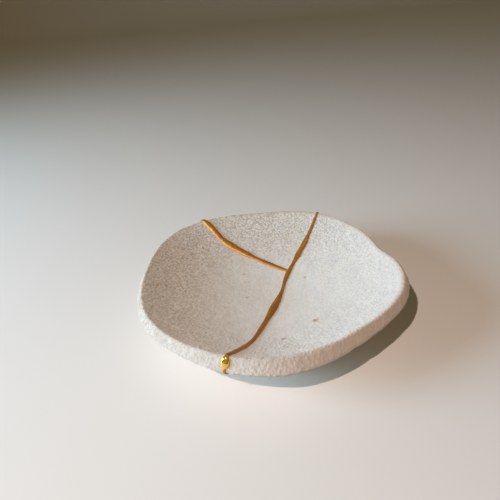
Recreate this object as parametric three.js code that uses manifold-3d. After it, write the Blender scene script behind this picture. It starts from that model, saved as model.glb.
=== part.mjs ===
// Kintsugi bowl: a small hand-formed stoneware dish, broken in three and mended with a
// raised seam of gilded lacquer. Millimetres, +Z up, origin under the middle of the bowl.

import * as THREE from "three";
import { ParametricGeometry } from "three/addons/geometries/ParametricGeometry.js";
import { mergeVertices } from "three/addons/utils/BufferGeometryUtils.js";
import Module from "manifold-3d";

const wasm = await Module();
wasm.setup();

// ---------------------------------------------------------------- driving dimensions

// Size of the bowl.
const rimRadius = 65.8; // mean radius out to the crest of the rim
const rimHeight = 29.3; // the sharp corner of the crest, before it is rounded
const insideDepth = 19.2; // crest down to the middle of the hollow
const insidePower = 2.1; // how the hollow rises: 2 is a parabola
const lipLean = 3.6; // mean distance that the cut lip leans out
const lipDrop = 7.5; // height of the cut lip
const footRadius = 29; // mean radius of the flat underside
const outsidePower = 1.25; // how the outer wall rises from the foot
const crestRounding = 1.8; // length taken off each side of the crest's corner
const lipRounding = 2.4; // the same at the lower corner of the lip

// Hand-made unevenness. Each wave is count waves round the rim, its peak at turn degrees.
const outlineWaves = [
  { count: 1, swell: 2.25, turn: 143 },
  { count: 2, swell: 0.9, turn: -30 },
  { count: 3, swell: 1.2, turn: 4 },
  { count: 4, swell: 1.1, turn: -34 },
  { count: 5, swell: 1.4, turn: -14 },
];
const leanWaves = [{ count: 4, swell: 0.75, turn: 0 }];
const heightWaves = [
  { count: 2, swell: 0.35, turn: 60 },
  { count: 3, swell: 0.27, turn: 19 },
];
const dent = { turn: 9, spread: 9.7, depth: 2.6, dip: 0.6 };

// The crack. Both lines start outside the far rim and are seen from above.
const mainCrackPoints = [
  [41.8, 67],
  [27.2, 42.4],
  [12.1, 18.6],
  [5.2, 0.1],
  [-4.8, -23.9],
  [-14.4, -48.2],
  [-29.6, -72.1],
];
const branchCrackPoints = [
  [-47.1, 67.1],
  [-33.9, 57],
  [-23, 44.5],
  [-6.3, 31.9],
  [12.1, 18.6],
];

// The gilded seam.
const webThickness = 1.0; // lacquer inside the crack
const clearance = 0.3; // room between the seam and the clay
const footRecess = 0.4; // how far the seam stays above the standing surface
const beadRise = 0.27; // height of the bead as a share of its width
const dropWidth = 3.8;
const dropLength = 5.2;
const dropRise = 1.25;
const dropPlace = 0.38; // its middle, as a share of the way down the lip

// How finely the surfaces are faceted.
const stepsAround = 96;
const insideSteps = 8;
const roundingSteps = 2;
const outsideSteps = 4;
const crackSteps = 18; // along each crack, a multiple of the main crack's 6 spans
const beadStepsInside = 14;

// Sections of the tubes along the crack, one unit out to each side: an oval for the bead and
// a box for the channel that the bead lies in.
const beadSection = { sides: 8, radius: 1, turn: 0 };
const channelSection = { sides: 4, radius: Math.SQRT2, turn: Math.PI / 4 };

// ---------------------------------------------------------------- form of the bowl

function waveSum(waves, angle) {
  let sum = 0;
  for (const wave of waves) {
    sum += wave.swell * Math.cos(wave.count * (angle - THREE.MathUtils.degToRad(wave.turn)));
  }
  return sum;
}

// 1 in the middle of the dent, falling away to 0 on both sides of it.
function dentShare(angle) {
  const away = angle - THREE.MathUtils.degToRad(dent.turn);
  const wrapped = Math.atan2(Math.sin(away), Math.cos(away));
  return Math.exp(-((wrapped / THREE.MathUtils.degToRad(dent.spread)) ** 2));
}

// A place on the bowl's profile is a Vector3: x is the share of the rim's radius, y the share
// of the lip's lean and z the height. The same profile is used all round.
function planRadius(place, angle) {
  const rim = place.x * (rimRadius + waveSum(outlineWaves, angle));
  const lean = place.y * (lipLean + waveSum(leanWaves, angle));
  return rim + lean - place.x ** 3 * dent.depth * dentShare(angle);
}

function heightAt(place, angle) {
  const uneven = waveSum(heightWaves, angle) - dent.dip * dentShare(angle);
  const lift = THREE.MathUtils.smoothstep(place.z, 0, rimHeight) * place.x ** 2;
  return place.z + uneven * lift;
}

function insidePlace(level) {
  const height = rimHeight - insideDepth + insideDepth * level ** insidePower;
  return new THREE.Vector3(level, 0, height);
}

// level runs from 0 at the edge of the foot to 1 at the lower corner of the lip.
function outsidePlace(level) {
  const share = THREE.MathUtils.lerp(footRadius / (rimRadius + lipLean), 1, level);
  return new THREE.Vector3(share, share, (rimHeight - lipDrop) * level ** outsidePower);
}

function roundedCorner(before, corner, after) {
  return new THREE.QuadraticBezierCurve3(before, corner, after).getPoints(roundingSteps);
}

// From the crest over the lip to the start of the outer wall.
function lipPlaces() {
  const crest = insidePlace(1);
  const edge = outsidePlace(1);
  const crestStart = insidePlace(1 - crestRounding / rimRadius);
  const lipTop = crest.clone().lerp(edge, crestRounding / lipDrop);
  const lipBottom = crest.clone().lerp(edge, 1 - lipRounding / lipDrop);
  const wallTop = outsidePlace(1 - lipRounding / (rimRadius - footRadius));
  return [...roundedCorner(crestStart, crest, lipTop), ...roundedCorner(lipBottom, edge, wallTop)];
}

function outsidePlaces() {
  const places = [];
  for (let step = outsideSteps; step >= 0; step -= 1) {
    places.push(outsidePlace((0.92 * step) / outsideSteps));
  }
  return places;
}

function profilePlaces() {
  const places = [];
  for (let step = 0; step < insideSteps; step += 1) {
    places.push(insidePlace((0.95 * step) / (insideSteps - 1)));
  }
  places.push(...lipPlaces(), ...outsidePlaces(), new THREE.Vector3(0, 0, 0));
  return places;
}

function bowlGeometry() {
  const places = profilePlaces();
  const rows = places.length - 1;
  const surface = (along, around, target) => {
    const place = places[Math.round(along * rows)];
    const angle = around * 2 * Math.PI;
    const radius = planRadius(place, angle);
    target.set(radius * Math.cos(angle), radius * Math.sin(angle), heightAt(place, angle));
  };
  return new ParametricGeometry(surface, rows, stepsAround);
}

// ---------------------------------------------------------------- the crack

function crackLine(points) {
  return new THREE.SplineCurve(points.map(([x, y]) => new THREE.Vector2(x, y)));
}

const mainCrack = crackLine(mainCrackPoints);
const branchCrack = crackLine(branchCrackPoints);

// The place of a point of the hollow seen from above, as its level from the middle to the rim.
function levelAt(point) {
  const angle = Math.atan2(point.y, point.x);
  return point.length() / planRadius(insidePlace(1), angle);
}

function insidePoint(point) {
  const place = insidePlace(levelAt(point));
  return new THREE.Vector3(point.x, point.y, heightAt(place, Math.atan2(point.y, point.x)));
}

// Where along a crack it passes a place of the profile, searched between two shares of it.
function crackShareAt(crack, place, inner, outer) {
  let low = inner;
  let high = outer;
  for (let halving = 0; halving < 30; halving += 1) {
    const middle = (low + high) / 2;
    const point = crack.getPoint(middle);
    const beyond = point.length() > planRadius(place, Math.atan2(point.y, point.x));
    low = beyond ? low : middle;
    high = beyond ? middle : high;
  }
  return (low + high) / 2;
}

function ribbonGeometry(crack, halfThickness) {
  const left = [];
  const right = [];
  for (let step = 0; step <= crackSteps; step += 1) {
    const point = crack.getPoint(step / crackSteps);
    const along = crack.getTangent(step / crackSteps);
    const aside = new THREE.Vector2(-along.y, along.x).multiplyScalar(halfThickness);
    left.push(point.clone().add(aside));
    right.unshift(point.clone().sub(aside));
  }
  const outline = new THREE.Shape([...left, ...right]);
  const geometry = new THREE.ExtrudeGeometry(outline, { depth: 3 * rimHeight, bevelEnabled: false });
  return geometry.translate(0, 0, -rimHeight);
}

// ---------------------------------------------------------------- the bead on the crack

// Each arm runs from a share of its crack out to the rim, over the lip and down to the foot.
// widths are spaced evenly from the arm's start to the crest, then lip and wall follow.
const farArm = {
  crack: mainCrack,
  start: 0.5,
  rim: 0,
  widths: [2.2, 1.8, 2.0, 2.1, 2.8, 2.9, 2.1, 3.3, 3.1, 3.2, 2.2, 1.8, 1.5],
  lip: 1.6,
  wall: 2.2,
};
const nearArm = {
  crack: mainCrack,
  start: 0.5,
  rim: 1,
  widths: [2.2, 3.7, 4.3, 4.0, 3.0, 2.5, 2.4, 2.4, 1.9, 2.0, 2.6, 2.6, 2.1],
  lip: 1.7,
  wall: 2.4,
};
const branchArm = {
  crack: branchCrack,
  start: 1,
  rim: 0,
  widths: [1.8, 2.0, 2.9, 2.7, 2.7, 3.5, 4.1, 4.4, 3.8, 3.3, 3.4, 3.6, 2.7],
  lip: 2.2,
  wall: 2.0,
};

// Points of an arm on the surface, each with its width and its direction across the crack.
function armStations(arm) {
  const stations = [];
  const add = (share, place, width) => {
    const plan = arm.crack.getPoint(share);
    const along = arm.crack.getTangent(share).multiplyScalar(Math.sign(arm.rim - arm.start));
    const across = new THREE.Vector3(-along.y, along.x, 0);
    const position = insidePoint(plan);
    if (place) {
      position.z = heightAt(place, Math.atan2(plan.y, plan.x));
    } else {
      const beside = insidePoint(plan.clone().add(new THREE.Vector2(-along.y, along.x)));
      across.z = beside.z - position.z;
    }
    stations.push({ position, across: across.normalize(), width });
  };
  const lip = lipPlaces();
  const crestShare = crackShareAt(arm.crack, lip[0], arm.start, arm.rim);
  const widthLine = new THREE.SplineCurve(arm.widths.map((width, i) => new THREE.Vector2(i, width)));
  for (let step = 0; step < beadStepsInside; step += 1) {
    const done = step / beadStepsInside;
    add(THREE.MathUtils.lerp(arm.start, crestShare, done), null, widthLine.getPoint(done).y);
  }
  for (const place of lip) {
    add(crackShareAt(arm.crack, place, arm.start, arm.rim), place, arm.lip);
  }
  for (const place of outsidePlaces()) {
    const raised = place.clone().setZ(Math.max(place.z, 2 * footRecess));
    add(crackShareAt(arm.crack, place, arm.start, arm.rim), raised, arm.wall);
  }
  return stations;
}

// The bead on the main crack is one run, from the far foot to the near one.
function mainStations() {
  const [, ...far] = armStations(farArm);
  const backwards = far.reverse().map((station) => {
    return { ...station, across: station.across.clone().negate() };
  });
  return [...backwards, ...armStations(nearArm)];
}

// A closed tube through the stations, half of it sunk in the clay.
function tubeGeometry(stations, section, extra) {
  const steps = stations.length - 1;
  const { sides, radius, turn } = section;
  const geometry = new THREE.CylinderGeometry(radius, radius, 1, sides, steps, false, turn);
  const points = geometry.attributes.position;
  for (let i = 0; i < points.count; i += 1) {
    const index = Math.round((points.getY(i) + 0.5) * steps);
    const { position, across, width } = stations[index];
    const ahead = stations[Math.min(index + 1, steps)].position;
    const behind = stations[Math.max(index - 1, 0)].position;
    const along = ahead.clone().sub(behind).normalize();
    const up = along.cross(across).normalize();
    const vertex = position.clone();
    vertex.addScaledVector(across, -points.getX(i) * (width / 2 + extra));
    vertex.addScaledVector(up, points.getZ(i) * (width * beadRise + extra));
    points.setXYZ(i, vertex.x, vertex.y, vertex.z);
  }
  return geometry;
}

// The drop hangs on the near lip, a little below the crest, where the lacquer ran together.
function dropGeometry(extra) {
  const place = insidePlace(1).lerp(outsidePlace(1), dropPlace);
  const plan = mainCrack.getPoint(crackShareAt(mainCrack, place, nearArm.start, nearArm.rim));
  const slope = (plan.length() * lipLean) / lipDrop;
  const outward = new THREE.Vector3(plan.x, plan.y, slope).normalize();
  const geometry = new THREE.SphereGeometry(1, 12, 8);
  geometry.scale(dropWidth / 2 + extra, dropLength / 2 + extra, dropRise + extra);
  const turn = new THREE.Matrix4().lookAt(outward, new THREE.Vector3(), new THREE.Vector3(0, 0, 1));
  geometry.applyMatrix4(turn);
  return geometry.translate(plan.x, plan.y, heightAt(place, Math.atan2(plan.y, plan.x)));
}

// ---------------------------------------------------------------- solids

function asSolid(geometry) {
  geometry.deleteAttribute("normal");
  geometry.deleteAttribute("uv");
  const merged = mergeVertices(geometry, 1e-4);
  const corners = merged.index.array;
  const kept = [];
  for (let i = 0; i < corners.length; i += 3) {
    const [a, b, c] = corners.slice(i, i + 3);
    if (a !== b && b !== c && c !== a) {
      kept.push(a, b, c);
    }
  }
  const vertProperties = new Float32Array(merged.attributes.position.array);
  const triVerts = new Uint32Array(kept);
  return new wasm.Manifold(new wasm.Mesh({ numProp: 3, vertProperties, triVerts }));
}

function asMesh(name, solid, material) {
  const { vertProperties, triVerts } = solid.getMesh();
  const geometry = new THREE.BufferGeometry();
  geometry.setAttribute("position", new THREE.BufferAttribute(vertProperties, 3));
  geometry.setIndex(new THREE.BufferAttribute(triVerts, 1));
  geometry.computeVertexNormals();
  const mesh = new THREE.Mesh(geometry, material);
  mesh.name = name;
  return mesh;
}

// The lacquer in the crack, as an endless wall through the bowl.
function webSolid(extra) {
  const half = webThickness / 2 + extra;
  return asSolid(ribbonGeometry(mainCrack, half)).add(asSolid(ribbonGeometry(branchCrack, half)));
}

function beadSolid(section, extra) {
  const mainBead = asSolid(tubeGeometry(mainStations(), section, extra));
  const branchBead = asSolid(tubeGeometry(armStations(branchArm), section, extra));
  return mainBead.add(branchBead).add(asSolid(dropGeometry(extra)));
}

// The web reaches only as far as the clay does, and nothing touches the standing surface.
function seamSolid(clay) {
  const size = 4 * rimRadius;
  const standing = asSolid(new THREE.BoxGeometry(size, size, 2 * footRecess));
  return webSolid(0).intersect(clay).add(beadSolid(beadSection, 0)).subtract(standing);
}

// The part of the plane between two cracks, out past the rim, as a tall prism. The cracks are
// lists of points; the first is followed outward and the second inward.
function regionSolid(outward, inward) {
  const far = 2 * rimRadius;
  const start = outward[outward.length - 1];
  const end = inward[0];
  const outline = new THREE.Shape([...inward, ...outward.slice(1)]);
  outline.lineTo(...start.clone().setLength(far).toArray());
  outline.absarc(0, 0, far, start.angle(), end.angle(), false);
  const geometry = new THREE.ExtrudeGeometry(outline, {
    depth: 3 * rimHeight,
    bevelEnabled: false,
    curveSegments: 48,
  });
  return asSolid(geometry.translate(0, 0, -rimHeight));
}

// ---------------------------------------------------------------- the object

const stoneware = { color: 0xdcd6cb, roughness: 0.92, metalness: 0.0 };
const gilding = { color: 0xb87c28, roughness: 0.42, metalness: 0.85 };

const bowl = asSolid(bowlGeometry());
const cut = webSolid(clearance).add(beadSolid(channelSection, clearance));

const mainPoints = mainCrack.getPoints(crackSteps);
const junctionIndex = Math.round((crackSteps * 2) / (mainCrackPoints.length - 1));
const junctionToFar = mainPoints.slice(0, junctionIndex + 1).reverse();
const junctionToNear = mainPoints.slice(junctionIndex);
const junctionToBack = branchCrack.getPoints(crackSteps).reverse();
const reversed = (points) => [...points].reverse();

const regions = {
  shard_right: regionSolid(junctionToNear, reversed(junctionToFar)),
  shard_back: regionSolid(junctionToFar, reversed(junctionToBack)),
  shard_left: regionSolid(junctionToBack, reversed(junctionToNear)),
};

const kintsugiBowl = new THREE.Group();
for (const [name, region] of Object.entries(regions)) {
  const shard = bowl.intersect(region).subtract(cut);
  kintsugiBowl.add(asMesh(name, shard, new THREE.MeshStandardMaterial(stoneware)));
}
kintsugiBowl.add(asMesh("gold_seam", seamSolid(bowl), new THREE.MeshStandardMaterial(gilding)));

export default kintsugiBowl;
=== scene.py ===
"""Kintsugi bowl: the visual model of a stoneware dish, broken in three and mended with gold.

Sizes are in metres, +Z is up and the origin lies under the middle of the bowl. A point of the
clay's surface is named by its turn, the angle round the bowl, and its run, the way along the
profile from the middle of the hollow over the lip to the middle of the underside.
"""

import math  # noqa: E402

import bmesh  # noqa: E402
import bpy  # noqa: E402
import numpy as np  # noqa: E402
from bpy.props import (  # noqa: E402
    FloatProperty,
    FloatVectorProperty,
    IntProperty,
    PointerProperty,
)
from mathutils import Matrix, Vector  # noqa: E402


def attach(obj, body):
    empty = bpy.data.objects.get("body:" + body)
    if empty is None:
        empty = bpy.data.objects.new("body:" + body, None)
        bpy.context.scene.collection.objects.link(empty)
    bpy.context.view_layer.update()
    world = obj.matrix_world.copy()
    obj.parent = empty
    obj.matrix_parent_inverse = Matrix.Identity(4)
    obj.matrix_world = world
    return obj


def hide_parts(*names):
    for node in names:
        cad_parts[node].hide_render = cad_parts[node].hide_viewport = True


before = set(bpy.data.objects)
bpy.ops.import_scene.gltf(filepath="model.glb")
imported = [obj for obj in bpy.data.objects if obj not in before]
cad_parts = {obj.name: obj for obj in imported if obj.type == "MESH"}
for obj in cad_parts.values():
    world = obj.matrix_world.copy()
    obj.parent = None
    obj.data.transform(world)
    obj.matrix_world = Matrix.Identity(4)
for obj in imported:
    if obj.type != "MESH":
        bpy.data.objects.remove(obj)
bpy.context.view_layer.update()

bl_info = {
    "name": "Kintsugi bowl",
    "version": (1, 0, 0),
    "blender": (4, 5, 0),
    "location": "View3D > Sidebar > Kintsugi bowl",
    "description": "Builds a mended stoneware dish: three shards, the gilded seam and a stage",
    "category": "Object",
}

BODY = "root"
MM = 0.001

# Hand-made unevenness: waves round the rim, their swell in mm, and the turn of a peak in degrees.
OUTLINE_WAVES = ((1, 2.25, 143), (2, 0.9, -30), (3, 1.2, 4), (4, 1.1, -34), (5, 1.4, -14))
LEAN_WAVES = ((4, 0.75, 0),)
HEIGHT_WAVES = ((2, 0.35, 60), (3, 0.27, 19))

# The cracks seen from above, in mm. Both start outside the far rim, and the branch ends on the
# main crack.
MAIN_CRACK = (
    (41.8, 67),
    (27.2, 42.4),
    (12.1, 18.6),
    (5.2, 0.1),
    (-4.8, -23.9),
    (-14.4, -48.2),
    (-29.6, -72.1),
)
BRANCH_CRACK = ((-47.1, 67.1), (-33.9, 57), (-23, 44.5), (-6.3, 31.9), (12.1, 18.6))
JUNCTION_SHARE = 2 / 6

# Widths of the gold in mm, laid out evenly from the junction to the crest, then on the lip and
# on the outer wall.
FAR_WIDTHS = (2.6, 2.2, 2.0, 2.5, 3.4, 3.2, 3.1, 3.3, 2.4, 2.0, 1.6, 1.6, 1.2)
NEAR_WIDTHS = (
    *(2.7, 2.6, 2.2, 1.9, 1.7, 2.1, 2.9, 4.0, 4.3, 3.5),
    *(2.6, 2.4, 2.5, 2.2, 1.7, 2.0, 2.6, 2.4, 2.0),
)
BRANCH_WIDTHS = (
    *(1.6, 1.9, 2.5, 2.9, 2.9, 2.7, 2.7, 3.7, 3.9, 4.1),
    *(4.5, 4.3, 3.6, 3.1, 3.3, 3.3, 3.4, 3.7, 2.7),
)
SEAM_WIDTHS = {
    "far": (FAR_WIDTHS, 1.6, 2.2),
    "near": (NEAR_WIDTHS, 1.7, 2.4),
    "branch": (BRANCH_WIDTHS, 2.2, 2.0),
}

# Each shard's name, the cracks at its two sides, counter-clockwise, and its steps along the rim.
SHARDS = (
    ("shard_right", "near", "far", 512),
    ("shard_back", "far", "branch", 192),
    ("shard_left", "branch", "near", 384),
)

FAN_SPACING = 0.45 * MM
LIP_SPACING = 0.36 * MM
WALL_SPACING = 0.8 * MM
FOOT_SPACING = 1.3 * MM
SEAM_SPACING = 0.25 * MM
WEB_SPACING = 1.2 * MM


# ---------------------------------------------------------------- sizes and colours


def a_length(name, description, millimetres):
    default = millimetres * MM
    return FloatProperty(
        name=name, description=description, default=default, subtype="DISTANCE", unit="LENGTH"
    )


def an_angle(name, description, degrees):
    default = math.radians(degrees)
    return FloatProperty(name=name, description=description, default=default, subtype="ANGLE")


def a_share(name, description, default):
    return FloatProperty(name=name, description=description, default=default, subtype="FACTOR")


def a_number(name, description, default):
    return FloatProperty(name=name, description=description, default=default)


def a_seed(name, description, default):
    return IntProperty(name=name, description=description, default=default)


def a_colour(name, description, default):
    return FloatVectorProperty(
        name=name, description=description, default=default, subtype="COLOR", size=len(default)
    )


def a_place(name, description, millimetres):
    default = tuple(part * MM for part in millimetres)
    return FloatVectorProperty(
        name=name, description=description, default=default, subtype="TRANSLATION", size=3
    )


class KintsugiClay(bpy.types.PropertyGroup):
    """The dish and its clay."""

    rim_radius: a_length("Rim radius", "Mean radius out to the crest of the rim", 65.8)
    rim_height: a_length("Rim height", "Height of the crest before it is rounded", 29.3)
    inside_depth: a_length("Inside depth", "From the crest down to the middle of the hollow", 19.2)
    inside_power: a_number("Inside curve", "How the hollow rises; 2 is a parabola", 2.1)
    lip_lean: a_length("Lip lean", "How far the cut lip leans out", 3.6)
    lip_drop: a_length("Lip height", "Height of the cut lip", 7.5)
    foot_radius: a_length("Foot radius", "Mean radius of the flat underside", 29)
    outside_power: a_number("Outside curve", "How the outer wall rises from the foot", 1.25)
    crest_rounding: a_length(
        "Crest rounding", "Length that the rounding takes off each side of the crest", 1.8
    )
    lip_rounding: a_length(
        "Lower lip rounding",
        "Length that the rounding takes off each side of the lip's lower corner",
        2.4,
    )
    dent_turn: an_angle("Dent turn", "Where the dent lies round the rim", 9)
    dent_spread: an_angle("Dent spread", "How wide the dent is", 9.7)
    dent_depth: a_length("Dent depth", "How far the rim is pushed in", 2.6)
    dent_dip: a_length("Dent dip", "How far the rim sinks at the dent", 0.6)
    grain_width: a_length("Grain width", "Width of a grain of the coarse clay", 1.15)
    grain_depth: a_length("Grain depth", "Depth of the crevices between grains on the wall", 0.2)
    print_width: a_length("Hand print width", "Width of the soft hollows left by the fingers", 13)
    print_depth: a_length("Hand print depth", "Depth of the soft hollows left by the fingers", 0.45)
    stroke_width: a_length("Lip stroke width", "Width of the short strokes across the cut lip", 1.1)
    stroke_depth: a_length(
        "Lip stroke depth", "Depth of the short strokes across the cut lip", 0.17
    )
    skin: a_length("Skin", "How far the highest grains stay below the solid's surface", 0.06)
    speck_radius: a_length("Iron speck radius", "Largest radius of an iron speck", 0.24)
    speck_gap: a_length("Iron speck gap", "Least distance between iron specks", 9)
    seed: a_seed("Seed", "Seed of the clay's random marks", 7)
    body_colour: a_colour("Clay colour", "Colour of the fired clay", (0.75, 0.712, 0.65, 1.0))
    # Painted shade: this colour darkens the crevices between the grains, where shade falls.
    crevice_shade_colour: a_colour(
        "Crevice colour", "Colour between the grains", (0.42, 0.305, 0.19, 1.0)
    )
    # Painted shade: the lip is painted in this browner colour towards the right, the side away from
    # the window.
    lip_shade_colour: a_colour(
        "Fired lip colour", "Colour of the lip where the fire browned it", (0.60, 0.41, 0.28, 1.0)
    )
    iron_colour: a_colour(
        "Iron colour", "Colour of the iron specks and toasted edges", (0.47, 0.25, 0.10, 1.0)
    )


class KintsugiSeam(bpy.types.PropertyGroup):
    """The gilded lacquer in the cracks."""

    web_thickness: a_length("Crack width", "Thickness of the lacquer inside the crack", 1.0)
    foot_recess: a_length(
        "Foot recess", "How far the lacquer stays above the standing surface", 0.4
    )
    bead_rise: a_share("Bead rise", "Height of the raised bead as a share of its width", 0.27)
    drop_width: a_length("Drop width", "Width of the polished drop on the near lip", 3.8)
    drop_length: a_length("Drop length", "Length of the polished drop on the near lip", 5.2)
    drop_rise: a_length("Drop rise", "How far the drop stands out from the lip", 1.2)
    drop_place: a_share(
        "Drop place", "Middle of the drop as a share of the way down the flat of the lip", 0.3
    )
    tail_width: a_length("Tail width", "Width of the thin run below the drop", 1.0)
    end_height: a_length(
        "End height", "How far above the foot recess the raised bead runs out", 0.7
    )
    edge_wobble: a_share(
        "Edge wobble", "How unevenly the brush laid the edges, as a share of the width", 0.14
    )
    streak_depth: a_length("Brush streak depth", "Depth of the fine streaks across the bead", 0.05)
    seed: a_seed("Seed", "Seed of the seam's random marks", 3)
    gold_colour: a_colour(
        "Gold colour", "Colour of the brushed gold powder", (0.67, 0.30, 0.05, 1.0)
    )
    copper_colour: a_colour(
        "Copper colour",
        "Colour where the gold is thin and the red lacquer shows through",
        (0.54, 0.205, 0.06, 1.0),
    )
    polished_colour: a_colour("Polished gold colour", "Colour of the drop", (1.0, 0.55, 0.10, 1.0))


class KintsugiStage(bpy.types.PropertyGroup):
    """The floor, the lights and the camera."""

    floor_colour: a_colour("Floor colour", "Colour of the plain floor", (0.90, 0.835, 0.765, 1.0))
    window_power: a_number(
        "Window power", "Power of the large cool softbox at the left, in watts", 10.3
    )
    window_turn: an_angle("Window turn", "Where the softbox stands round the bowl", 189)
    window_height: an_angle("Window height", "Angle of the softbox above the floor", 18)
    window_colour: a_colour("Window colour", "Colour of the softbox", (0.50, 0.77, 1.0))
    lamp_power: a_number(
        "Lamp power", "Power of the small warm lamp above the camera, in watts", 4.4
    )
    lamp_turn: an_angle("Lamp turn", "Where the lamp stands round the bowl", 236)
    lamp_height: an_angle("Lamp height", "Angle of the lamp above the floor", 51)
    lamp_colour: a_colour("Lamp colour", "Colour of the lamp", (1.0, 0.84, 0.78))
    room_colour: a_colour("Room colour", "Colour of the plain surroundings", (1.0, 0.80, 0.42, 1.0))
    room_strength: a_number("Room strength", "Brightness of the plain surroundings", 0.10)
    camera_place: a_place("Camera place", "Where the camera stands", (-10.43, -186.0, 152.7))
    camera_down: an_angle("Camera pitch", "How far the camera looks down", 31.27)
    camera_left: an_angle("Camera turn", "How far the camera is turned to the left", -0.39)
    camera_roll: an_angle("Camera roll", "How far the camera is rolled", -4.87)
    camera_lens: a_number("Focal length", "Focal length of the lens, in millimetres", 31.1)


# ---------------------------------------------------------------- form of the bowl


def wave_sum(waves, turn):
    total = np.zeros_like(turn)
    for count, swell, peak in waves:
        total = total + swell * MM * np.cos(count * (turn - math.radians(peak)))
    return total


def dent_share(clay, turn):
    """1 in the middle of the dent, falling away to 0 on both sides of it."""
    away = turn - clay.dent_turn
    wrapped = np.arctan2(np.sin(away), np.cos(away))
    return np.exp(-((wrapped / clay.dent_spread) ** 2))


def plan_radius(clay, place, turn):
    """Radius seen from above of a place of the profile, which is its share of the rim's radius, its
    share of the lip's lean and its height."""
    rim = place[..., 0] * (clay.rim_radius + wave_sum(OUTLINE_WAVES, turn))
    lean = place[..., 1] * (clay.lip_lean + wave_sum(LEAN_WAVES, turn))
    return rim + lean - place[..., 0] ** 3 * clay.dent_depth * dent_share(clay, turn)


def rounded_corner(before, corner, after, steps):
    t = np.linspace(0, 1, steps)[:, None]
    return (1 - t) ** 2 * before + 2 * t * (1 - t) * corner + t**2 * after


class Profile:
    """The bowl's profile as places along the run, with the runs where its parts meet."""

    def __init__(self, clay):
        self.clay = clay
        crest, edge = self.inside(1.0), self.outside(1.0)
        self.crest_level = 1 - clay.crest_rounding / clay.rim_radius
        wall_level = 1 - clay.lip_rounding / (clay.rim_radius - clay.foot_radius)
        lip_top = crest + (edge - crest) * clay.crest_rounding / clay.lip_drop
        lip_bottom = edge - (edge - crest) * clay.lip_rounding / clay.lip_drop
        foot = self.outside(0.0)
        parts = [
            self.inside(np.linspace(0, self.crest_level, 300)),
            rounded_corner(self.inside(self.crest_level), crest, lip_top, 30),
            lip_top + np.linspace(0, 1, 30)[:, None] * (lip_bottom - lip_top),
            rounded_corner(lip_bottom, edge, self.outside(wall_level), 30),
            self.outside(np.linspace(wall_level, 0, 150)),
            foot * np.linspace(1, 0, 60)[:, None],
        ]
        self.places = np.vstack([part[1:] if i else part for i, part in enumerate(parts)])
        reach = self.places[:, 0] * clay.rim_radius + self.places[:, 1] * clay.lip_lean
        steps = np.hypot(np.diff(reach), np.diff(self.places[:, 2]))
        self.runs = np.concatenate([[0], np.cumsum(steps)])
        ends = np.cumsum([len(part) - 1 for part in parts])
        self.crest_start, self.lip_start, self.lip_end, self.wall_start, self.foot, self.end = (
            self.runs[ends]
        )

    def inside(self, level):
        """A place of the hollow; level is 0 in the middle and 1 at the crest."""
        clay, level = self.clay, np.asarray(level, float)
        rise = clay.inside_depth * level**clay.inside_power
        height = clay.rim_height - clay.inside_depth + rise
        return np.stack([level, 0 * level, height], axis=-1)

    def outside(self, level):
        """A place of the outer wall; level is 0 at the foot and 1 at the lip's lower corner."""
        clay, level = self.clay, np.asarray(level, float)
        narrow = clay.foot_radius / (clay.rim_radius + clay.lip_lean)
        share = narrow + (1 - narrow) * level
        height = (clay.rim_height - clay.lip_drop) * level**clay.outside_power
        return np.stack([share, share, height], axis=-1)

    def place(self, run):
        return np.stack([np.interp(run, self.runs, axis) for axis in self.places.T], axis=-1)

    def run_low_on_the_wall(self, height):
        """The run of the outer wall's place at a height."""
        wall = (self.runs >= self.wall_start) & (self.runs <= self.foot)
        return float(np.interp(-height, -self.places[wall, 2], self.runs[wall]))

    def run_at(self, plan, underneath):
        """The run of points seen from above, on the hollow or on the underside."""
        turn = np.arctan2(plan[..., 1], plan[..., 0])
        radius = np.hypot(plan[..., 0], plan[..., 1])
        lean = 1.0 if underneath else 0.0
        share = radius / self.clay.rim_radius
        for _ in range(12):
            whole = plan_radius(self.clay, np.stack([share, lean * share, share], -1), turn)
            share = share * radius / np.maximum(whole, 1e-9)
        if underneath:
            under = self.runs >= self.foot - 1e-12
            return np.interp(-share, -self.places[under, 0], self.runs[under])
        hollow = self.runs <= self.crest_start
        return np.interp(share, self.places[hollow, 0], self.runs[hollow])


# ---------------------------------------------------------------- the cracks seen from above


def smooth_line(points, steps=400):
    """A Catmull-Rom curve through the points."""
    points = np.asarray(points, float)
    padded = np.vstack([points[:1], points, points[-1:]])
    t = np.linspace(0, 1, steps)[:, None]
    spans = []
    for a, b, c, d in zip(padded, padded[1:], padded[2:], padded[3:]):
        ease_in, ease_out = (c - a) / 2, (d - b) / 2
        spans.append(
            (2 * b - 2 * c + ease_in + ease_out) * t**3
            + (-3 * b + 3 * c - 2 * ease_in - ease_out) * t**2
            + ease_in * t
            + b
        )
    return np.vstack([span[1:] if i else span for i, span in enumerate(spans)])


def crack_arms():
    """The three cracks from the junction outward, as lines seen from above."""
    main = smooth_line(np.array(MAIN_CRACK) * MM)
    branch = smooth_line(np.array(BRANCH_CRACK) * MM)
    junction = round(JUNCTION_SHARE * (len(main) - 1))
    return {"far": main[: junction + 1][::-1], "near": main[junction:], "branch": branch[::-1]}


def beside(line, distance):
    """The line moved to its left by a distance."""
    along = np.gradient(line, axis=0)
    along /= np.linalg.norm(along, axis=1)[:, None]
    return line + distance * np.stack([-along[:, 1], along[:, 0]], axis=1)


def lengths(line):
    return np.concatenate([[0], np.cumsum(np.linalg.norm(np.diff(line, axis=0), axis=1))])


def along_line(line, distances):
    whole = lengths(line)
    return np.stack([np.interp(distances, whole, axis) for axis in line.T], axis=-1)


def crossing(profile, line, run):
    """How far along the line it passes the place at that run."""
    turn = np.arctan2(line[:, 1], line[:, 0])
    radius = np.hypot(line[:, 0], line[:, 1])
    beyond = radius - plan_radius(profile.clay, profile.place(run), turn)
    last_inside = np.flatnonzero(beyond < 0)[-1]
    share = beyond[last_inside] / (beyond[last_inside] - beyond[last_inside + 1])
    whole = lengths(line)
    return whole[last_inside] + share * (whole[last_inside + 1] - whole[last_inside])


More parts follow.
